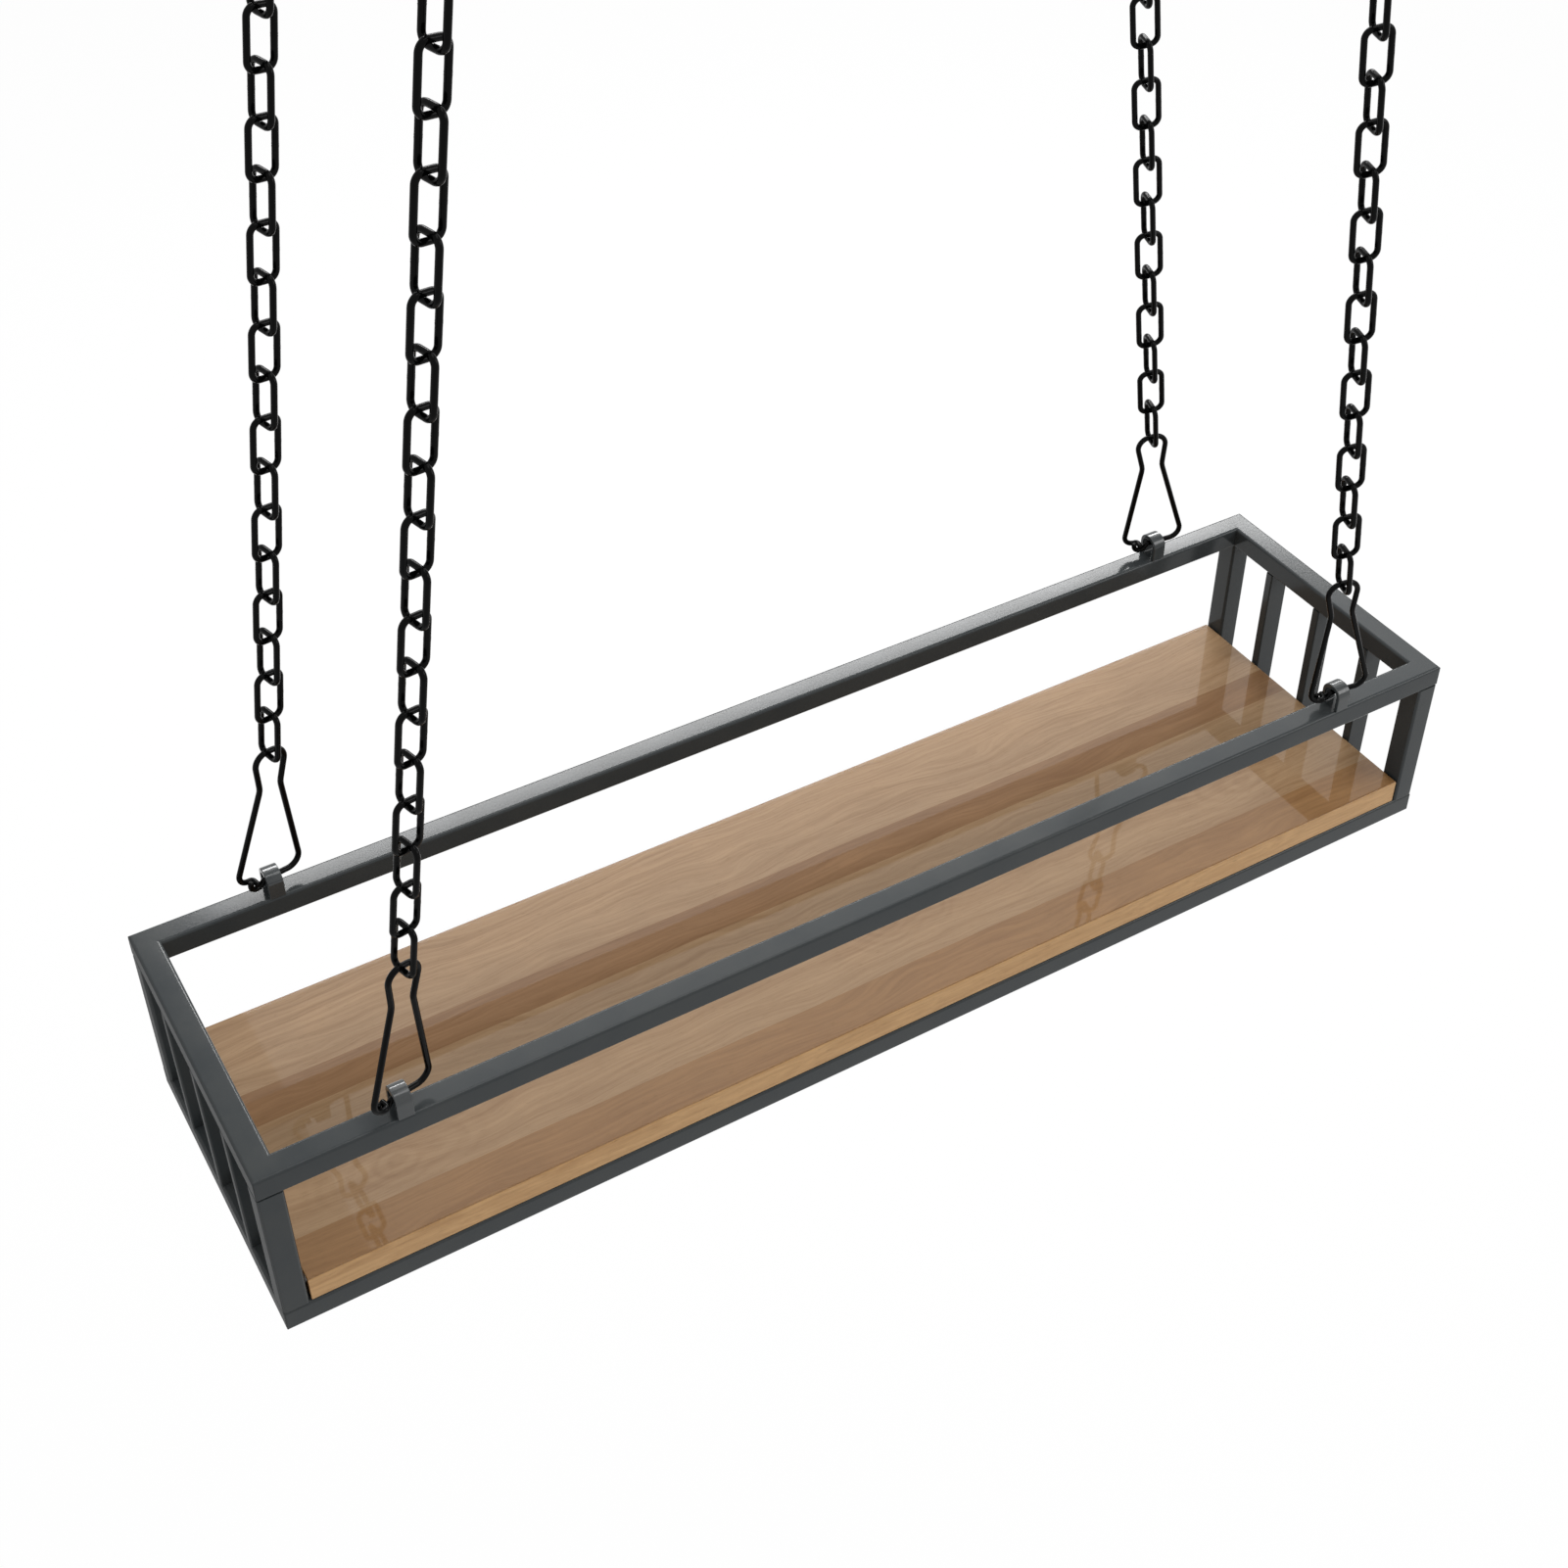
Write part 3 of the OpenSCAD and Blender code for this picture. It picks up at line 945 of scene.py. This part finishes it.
@dataclass
class StrapEye:
    """Flat strap bent over a long top rail and welded to it, for a ring hook."""

    x: float = EYE_X
    y: float = RAIL_Y
    foot: float = FRAME_BASE + FRAME_HEIGHT
    half_span: float = TUBE / 2
    width: float = 0.0075
    strap: float = 0.0022
    height: float = 0.013
    shoulder: float = 0.0052
    shoulder_step: float = 13.0
    ease: float = 0.00045
    bead: float = 0.0007
    finish: Finish = StovePaint(title="eye_paint", roughness=0.12, gloss=0.45)

    def arch(self, work: Workpiece) -> None:
        """Bends the strap from its foot at the back over to its foot at the front.

        Args:
            work: the mesh that it is added to.
        """
        half, inner, outer = self.width / 2, self.half_span - self.strap, self.half_span
        verts, _ = work.section([(-half, inner, 0.0), (half, inner, 0.0),
                                 (half, outer, 0.0), (-half, outer, 0.0)])
        strap = Sweep(work.bm, verts, Vector((0.0, (inner + outer) / 2, 0.0)), UP)
        leg, flat = self.height - self.shoulder, self.half_span - self.shoulder
        for length, y in ((leg, flat), (2 * flat, -flat)):
            strap.run(length)
            strap.bend(Vector((0.0, y, leg)), Vector((1, 0, 0)), math.pi / 2, self.shoulder_step)
        strap.run(leg).close()
        bmesh.ops.recalc_face_normals(work.bm, faces=list(work.bm.faces))
        sharp = [e for e in work.bm.edges if e.calc_face_angle(0.0) > 1.0
                 and any(v.co.z > CLOSE for v in e.verts)]
        work.ease(sharp, self.ease, 3)

    def build(self, corner: Corner) -> None:
        """Builds one eye: strap, then the two weld beads at its feet.

        Args:
            corner: the corner that it stands at.
        """
        work = Workpiece()
        self.arch(work)
        for side in (-1, 1):
            foot = Vector((-self.width / 2, side * (self.half_span - self.strap), 0.0))
            bead = Rod(work.bm, 2 * self.bead, foot, Vector((1, 0, 0)), 12)
            bead.open_out(self.bead, 3)
            bead.run(self.width - 2 * self.bead * math.sin(Rod.dome)).round_off(self.bead, 3)
        work.move(Matrix.Translation((corner.x * self.x, corner.y * self.y, self.foot)))
        work.lay(f"strap_eye_{corner.label}", self.finish, "shelf", (f"eye_{corner.label}",),
                 crease=35.0)


@dataclass
class Hanger:
    """Ring hook, gate, and chain between an eye and the ceiling."""

    eye_x: float = EYE_X
    rail_y: float = RAIL_Y
    pivot_z: float = -0.48485271
    lean: float = math.radians(8.322365)
    turn: float = math.radians(-16.0)
    wire: float = 0.0028
    base_w: float = 0.033
    waist_w: float = 0.0108
    waist_z: float = 0.0525
    head_w: float = 0.0172
    rise: float = 0.0722
    arm_bends: tuple = (0.0018, 0.0018, 0.006, 0.010, 0.0063, 0.0063)
    latch_x: float = 0.008
    latch_r: float = 0.0031
    latch_lip: float = 0.00224
    latch_ramp: tuple = (0.0016, 0.0044)
    gate_reach: float = 0.0032
    gate_bends: tuple = (0.0054, 0.0015)
    peg: float = 0.0019
    peg_round: float = 0.0007
    joint: float = 0.003
    joint_lap: float = 0.0001
    waist_bend: float = 0.010
    flex: float = 0.0019
    link_wire: float = 0.0028
    link_x: float = 0.0059
    link_z: float = 0.0119
    link_r: float = 0.0038
    links: int = 19
    first_link: float = 0.0810
    pitch: float = 0.0207
    weld_half: float = 0.001
    weld_step: float = 0.0003
    weld_groove: float = 0.97
    weld_ridge: float = 1.08
    finish: Finish = BlackEnamel()

    def line(self, corner: Corner) -> Matrix:
        """Places the chain's line, which local Z follows up from the ring hook's base.

        Args:
            corner: the hanger's corner.

        Returns:
            The line's place.
        """
        pivot = Vector((corner.x * self.eye_x, corner.y * self.rail_y, self.pivot_z))
        leant = Matrix.Rotation(-corner.x * self.lean, 4, "Y")
        return Matrix.Translation(pivot) @ leant @ Matrix.Rotation(corner.x * self.turn, 4, "Z")

    def point(self, corner: Corner, x: float, z: float, y: float = 0.0) -> Vector:
        """A point on the ring hook, with X and Z in its plane and Y across it."""
        return self.line(corner) @ Vector((x, corner.y * y, z))

    def arm(self, corner: Corner, end: list) -> None:
        """Bends the fixed arm, from its latch curl round to its waist.

        Args:
            corner: the hanger's corner.
            end: its last two points, above and at the waist.
        """
        lx, lr, (low, high) = self.latch_x, self.latch_r, self.latch_ramp
        turns = [(-lx - lr, self.latch_lip), (-lx - lr, -lr), (low - lx, -lr), (high - lx, 0.0),
                 (self.base_w / 2, 0.0), (self.waist_w / 2, self.waist_z), (self.head_w / 2, self.rise)]
        way = [*(self.point(corner, x, z) for x, z in turns), *end]
        work = Workpiece()
        rod = Rod(work.bm, self.wire, way[0], way[1] - way[0])
        rod.open_out(self.wire * 0.3).follow(way[1:], [lr, *self.arm_bends, 0]).close()
        work.lay(f"ring_wire_{corner.label}", self.finish, f"hanger_{corner.label}",
                 (f"ring_hook_{corner.label}",))

    def waist(self, corner: Corner, at: Vector, up: Vector, down: Vector) -> None:
        """Bends the springy waist between the arm above it and the gate below.

        Args:
            corner: the hanger's corner.
            at: where the wire is bent.
            up: the way up the arm, of length 1.
            down: the way down the gate, of length 1.
        """
        work, lap = Workpiece(), self.joint + self.joint_lap
        rod = Rod(work.bm, self.wire, at + up * lap, -up).close()
        rod.follow([at, at + down * lap], [self.waist_bend, 0]).close()
        piece = work.lay(f"ring_waist_{corner.label}", self.finish, None)
        at + up * self.flex
        at + down * self.flex
        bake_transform(piece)

    def gate(self, corner: Corner, way: list) -> None:
        """Bends the gate arm down to its peg, which the latch curl catches.

        Args:
            corner: the hanger's corner.
            way: its points, from the waist to the peg.
        """
        work = Workpiece()
        rod = Rod(work.bm, self.wire, way[0], way[1] - way[0]).close()
        rod.follow(way[1:], [*self.gate_bends, 0]).round_off(self.peg_round)
        work.lay(f"gate_wire_{corner.label}", self.finish, f"latch_{corner.label}",
                 (f"gate_{corner.label}",))

    def ring_hook(self, corner: Corner) -> None:
        """Builds the ring hook; the gate's foot stands out beside the fixed arm's base.

        Args:
            corner: the hanger's corner.
        """
        at = self.point(corner, -self.waist_w / 2, self.waist_z)
        head = self.point(corner, -self.head_w / 2, self.rise)
        base = self.point(corner, -self.base_w / 2, 0.0, self.gate_reach)
        up, down = (head - at).normalized(), (base - at).normalized()
        self.arm(corner, [head, at + up * self.joint])
        self.waist(corner, at, up, down)
        self.gate(corner, [at + down * self.joint, base,
                           self.point(corner, -self.latch_x, 0.0, self.gate_reach),
                           self.point(corner, -self.latch_x, 0.0, self.peg_round - self.peg)])

    def link(self, work: Workpiece) -> list:
        """Bends and butt-welds one link about the origin, upright in the XZ plane.

        Args:
            work: the mesh that it is added to.

        Returns:
            The link's vertices.
        """
        before = set(work.bm.verts)
        x, z, step, ridge = self.link_x, self.link_z, self.weld_step, self.weld_ridge
        swelling = self.weld_groove * ridge
        rod = Rod(work.bm, self.link_wire, Vector((x, 0, 0)), UP, sides=12)
        rod.swell(self.weld_groove).run(step).swell(ridge)
        rod.run(self.weld_half - step).swell(1 / swelling)
        corners = [Vector((x, 0, z)), Vector((-x, 0, z)), Vector((-x, 0, -z)), Vector((x, 0, -z)),
                   Vector((x, 0, -self.weld_half))]
        rod.follow(corners, [self.link_r] * 4 + [0])
        rod.run(self.weld_half - step).swell(swelling).run(step).swell(1 / ridge).weld()
        return [v for v in work.bm.verts if v not in before]

    def chain(self, corner: Corner) -> None:
        """Hangs the chain: links in turn across and along the line.

        Args:
            corner: the hanger's corner.
        """
        work, line = Workpiece(), self.line(corner)
        for k in range(self.links):
            turn = Matrix.Rotation(math.pi / 2 if k % 2 == 0 else 0.0, 4, "Z")
            place = line @ Matrix.Translation((0, 0, self.first_link + k * self.pitch)) @ turn
            bmesh.ops.transform(work.bm, matrix=place, verts=self.link(work))
        work.lay(f"link_chain_{corner.label}", self.finish, f"hanger_{corner.label}",
                 (f"chain_{corner.label}",))

    def build(self, corner: Corner) -> None:
        """Builds one hanger."""
        self.ring_hook(corner)
        self.chain(corner)


@dataclass
class CeilingFitting:
    """Screw hook with its collar, and the cover plate against the ceiling."""

    x: float = 0.185
    y: float = RAIL_Y
    rod: float = 0.004
    rod_top: float = 0.003
    bowl_z: float = -0.020
    neck_r: float = 0.005
    neck_z: float = -0.008
    neck_turn: float = math.radians(67.38014)
    tip_rise: float = math.radians(25.0)
    root_share: float = 0.9
    stud: float = 0.024
    stud_base: float = 0.0025
    stud_point: tuple = (0.0002, 0.006)
    thread_core: float = 0.0015
    thread_start: float = 0.0034
    thread_turns: int = 7
    thread_pitch: float = 0.0022
    thread_half: float = 0.00055
    plate_r: float = 0.011
    plate_hole: float = 0.0032
    plate_t: float = 0.002
    plate_curve: tuple = ((0.66, -1.0), (0.84, -0.88), (0.95, -0.56), (1.0, -0.15), (0.995, 0.0),
                          (0.94, 0.0), (0.9, -0.25), (0.8, -0.5), (0.64, -0.6))
    collar_r: float = 0.0045
    collar_curve: tuple = ((-0.0006, -0.004), (0.0, -0.0034), (0.0, -0.0025), (-0.0004, -0.002))
    finish: Finish = BlackEnamel()

    def thread(self, work: Workpiece) -> None:
        """Turns the stud's core and winds its tooth round it.

        Args:
            work: the mesh that they are added to.
        """
        core, steps = self.thread_core, 16
        tip, point = self.stud_point
        work.lathe([(0.0, self.stud_base), (core, self.stud_base), (core, self.stud - point),
                    (tip, self.stud), (0.0, self.stud)], (0, 0, 0), steps=steps, closed=False)
        root = core * self.root_share
        low, half = self.thread_start, self.thread_half
        verts, edges = work.section([(root, 0, low - half), (self.rod / 2, 0, low),
                                     (root, 0, low + half)])
        end = bmesh.ops.spin(work.bm, geom=[*verts, *edges], cent=(0, 0, 0), axis=UP,
                             dvec=(0, 0, self.thread_pitch / steps),
                             angle=2 * math.pi * self.thread_turns, steps=steps * self.thread_turns,
                             use_merge=False, use_duplicate=False)["geom_last"]
        rim = [e for e in end if isinstance(e, bmesh.types.BMEdge)]
        bmesh.ops.edgeloop_fill(work.bm, edges=rim)

    def screw_hook(self, corner: Corner) -> None:
        """Builds the hook: neck, bowl with its rounded tip, collar, and threaded stud.

        Args:
            corner: the corner that it holds.
        """
        work, side, r = Workpiece(), -corner.x, self.rod / 2
        rod = Rod(work.bm, self.rod, UP * self.rod_top, -UP).close()
        rod.run(self.rod_top - self.neck_z)
        rod.bend(Vector((-side * self.neck_r, 0, self.neck_z)), Vector((0, side, 0)), self.neck_turn)
        rod.bend(Vector((0, 0, self.bowl_z)), Vector((0, -side, 0)),
                 self.neck_turn + math.pi + self.tip_rise, 9.0)
        rod.round_off(r, 5)
        bore, curve = r * self.root_share, self.collar_curve
        work.lathe([(bore, curve[0][1]), *[(self.collar_r + dr, z) for dr, z in curve],
                    (bore, curve[-1][1])], (0, 0, 0))
        self.thread(work)
        work.move(Matrix.Translation((corner.x * self.x, corner.y * self.y, 0.0)))
        work.lay(f"screw_hook_{corner.label}", self.finish, "ceiling",
                 (f"ceiling_hook_{corner.label}",))

    def cover_plate(self, corner: Corner) -> None:
        """Presses the round cover plate, hollow behind.

        Args:
            corner: the corner that it is for.
        """
        work, curve = Workpiece(), self.plate_curve
        outline = [(self.plate_r * across, self.plate_t * down) for across, down in curve]
        rim = [(self.plate_hole, self.plate_t * down) for down in (curve[0][1], curve[-1][1])]
        work.lathe([rim[0], *outline, rim[1]], (corner.x * self.x, corner.y * self.y, 0.0), steps=48)
        work.lay(f"cover_plate_{corner.label}", self.finish, "ceiling",
                 (f"ceiling_plate_{corner.label}",))

    def build(self, corner: Corner) -> None:
        """Builds one ceiling fitting."""
        self.screw_hook(corner)
        self.cover_plate(corner)


@dataclass(frozen=True)
class Softbox:
    """A rectangular softbox; level is how bright its face looks, where 1 is white."""

    name: str
    at: tuple
    aim: tuple
    size: tuple
    level: float

    def hang(self) -> None:
        """Hangs the lamp in its place, with its face to the point that it aims at."""
        wide, high = self.size
        data = bpy.data.lights.new(self.name, "AREA")
        data.shape, data.size, data.size_y = "RECTANGLE", wide, high
        data.energy = self.level * wide * high * WATTS_AT_WHITE
        lamp = put(self.name, data)
        lamp.location = self.at
        lamp.rotation_euler = (Vector(self.aim) - Vector(self.at)).to_track_quat("-Z", "Y").to_euler()


@dataclass
class Studio:
    """Pale floor, white surroundings, softboxes and the camera."""

    fill: float = 0.47
    softboxes: tuple = (
        Softbox("back_softbox", (1.06, 1.79, 1.01), (1.06, 1.79, -1.0), (2.12, 0.46), 15.0),
        Softbox("sky_softbox", (1.06, 1.22, 1.01), (1.06, 1.22, -1.0), (2.12, 0.66), 1.2),
        Softbox("key_softbox", (1.9, -1.7, 0.9), (0.2, 0.0, -0.5), (1.2, 1.2), 3.2),
        Softbox("top_softbox", (0.6, -0.3, 2.2), (0.0, 0.0, -0.5), (1.8, 1.2), 2.2))
    floor_z: float = -1.6
    floor_size: float = 24.0
    floor_colour: tuple = (0.82, 0.82, 0.82)
    floor_seen: float = 0.95
    eye: tuple = (-0.41722, -0.66329, 0.22343)
    yaw: float = math.radians(30.591)
    pitch: float = math.radians(39.346)
    roll: float = math.radians(0.1275)
    lens: float = 50.613
    sensor: float = 36.0
    shift_y: float = -0.0713
    clip: tuple = (0.02, 60.0)

    def camera(self) -> None:
        """Stands the camera where the photograph was taken from."""
        turn = (Matrix.Rotation(-self.yaw, 4, "Z")
                @ Matrix.Rotation(math.pi / 2 - self.pitch, 4, "X")
                @ Matrix.Rotation(-self.roll, 4, "Z"))
        data = bpy.data.cameras.new("camera")
        data.lens, data.sensor_width, data.shift_y = self.lens, self.sensor, self.shift_y
        data.clip_start, data.clip_end = self.clip
        camera = put("camera", data)
        camera.matrix_world = Matrix.Translation(Vector(self.eye)) @ turn
        bpy.context.scene.camera = camera

    def seen(self, graph: Graph) -> Signal:
        """Picks the rays that show white surroundings: from the camera, mirrors and glass.

        Args:
            graph: the tree that the answer is for.

        Returns:
            1 for those rays, and 0 for others.
        """
        path = graph.node("ShaderNodeLightPath").socket.node.outputs
        rays = [Signal(graph, path[n]) for n in
                ("Is Camera Ray", "Is Glossy Ray", "Is Transmission Ray")]
        return (rays[0] + rays[1]).maths("ADD", rays[2], clamp=True)

    def surroundings(self) -> None:
        """Makes the world white to look at, and a plain level of light on the object."""
        world = bpy.data.worlds.new("surroundings")
        world.use_nodes = True
        graph = Graph(world.node_tree)
        level = self.fill + self.seen(graph) * (1.0 - self.fill)
        sky = graph.node("ShaderNodeBackground", inputs={"Color": (1.0, 1.0, 1.0), "Strength": level})
        graph.node("ShaderNodeOutputWorld", inputs={"Surface": sky})
        bpy.context.scene.world = world

    def floor(self) -> None:
        """Lays the pale floor, which keeps the object's soft shadow."""
        bm = bmesh.new()
        bmesh.ops.create_grid(bm, x_segments=1, y_segments=1, size=self.floor_size / 2,
                              matrix=Matrix.Translation((0, 0, self.floor_z)))
        mesh = bpy.data.meshes.new("floor")
        bm.to_mesh(mesh)
        bm.free()
        material = bpy.data.materials.new("pale_floor")
        material.use_nodes = True
        graph = Graph(material.node_tree)
        matt = graph.node("ShaderNodeBsdfDiffuse", inputs={"Color": self.floor_colour})
        white = graph.node("ShaderNodeEmission", inputs={"Color": (1.0, 1.0, 1.0), "Strength": 1.0})
        share = self.seen(graph) * self.floor_seen
        both = graph.node("ShaderNodeMixShader", inputs={0: share, 1: matt, 2: white})
        graph.node("ShaderNodeOutputMaterial", inputs={"Surface": both})
        mesh.materials.append(material)
        put("floor", mesh)

    def build(self) -> None:
        """Sets up the camera, the light and the floor."""
        bpy.context.scene.view_settings.view_transform = "Standard"
        self.camera()
        self.surroundings()
        self.floor()
        for softbox in self.softboxes:
            softbox.hang()


def main() -> None:
    """Builds the studio, then the shelf from the frame up to the ceiling."""
    logging.basicConfig(level=logging.INFO, format="%(name)s %(message)s")
    Studio().build()
    SteelFrame().build()
    Board().build()
    eye, hanger, fitting = StrapEye(), Hanger(), CeilingFitting()
    for corner in Corner:
        eye.build(corner)
        hanger.build(corner)
        fitting.build(corner)


if __name__ == "__main__":
    main()
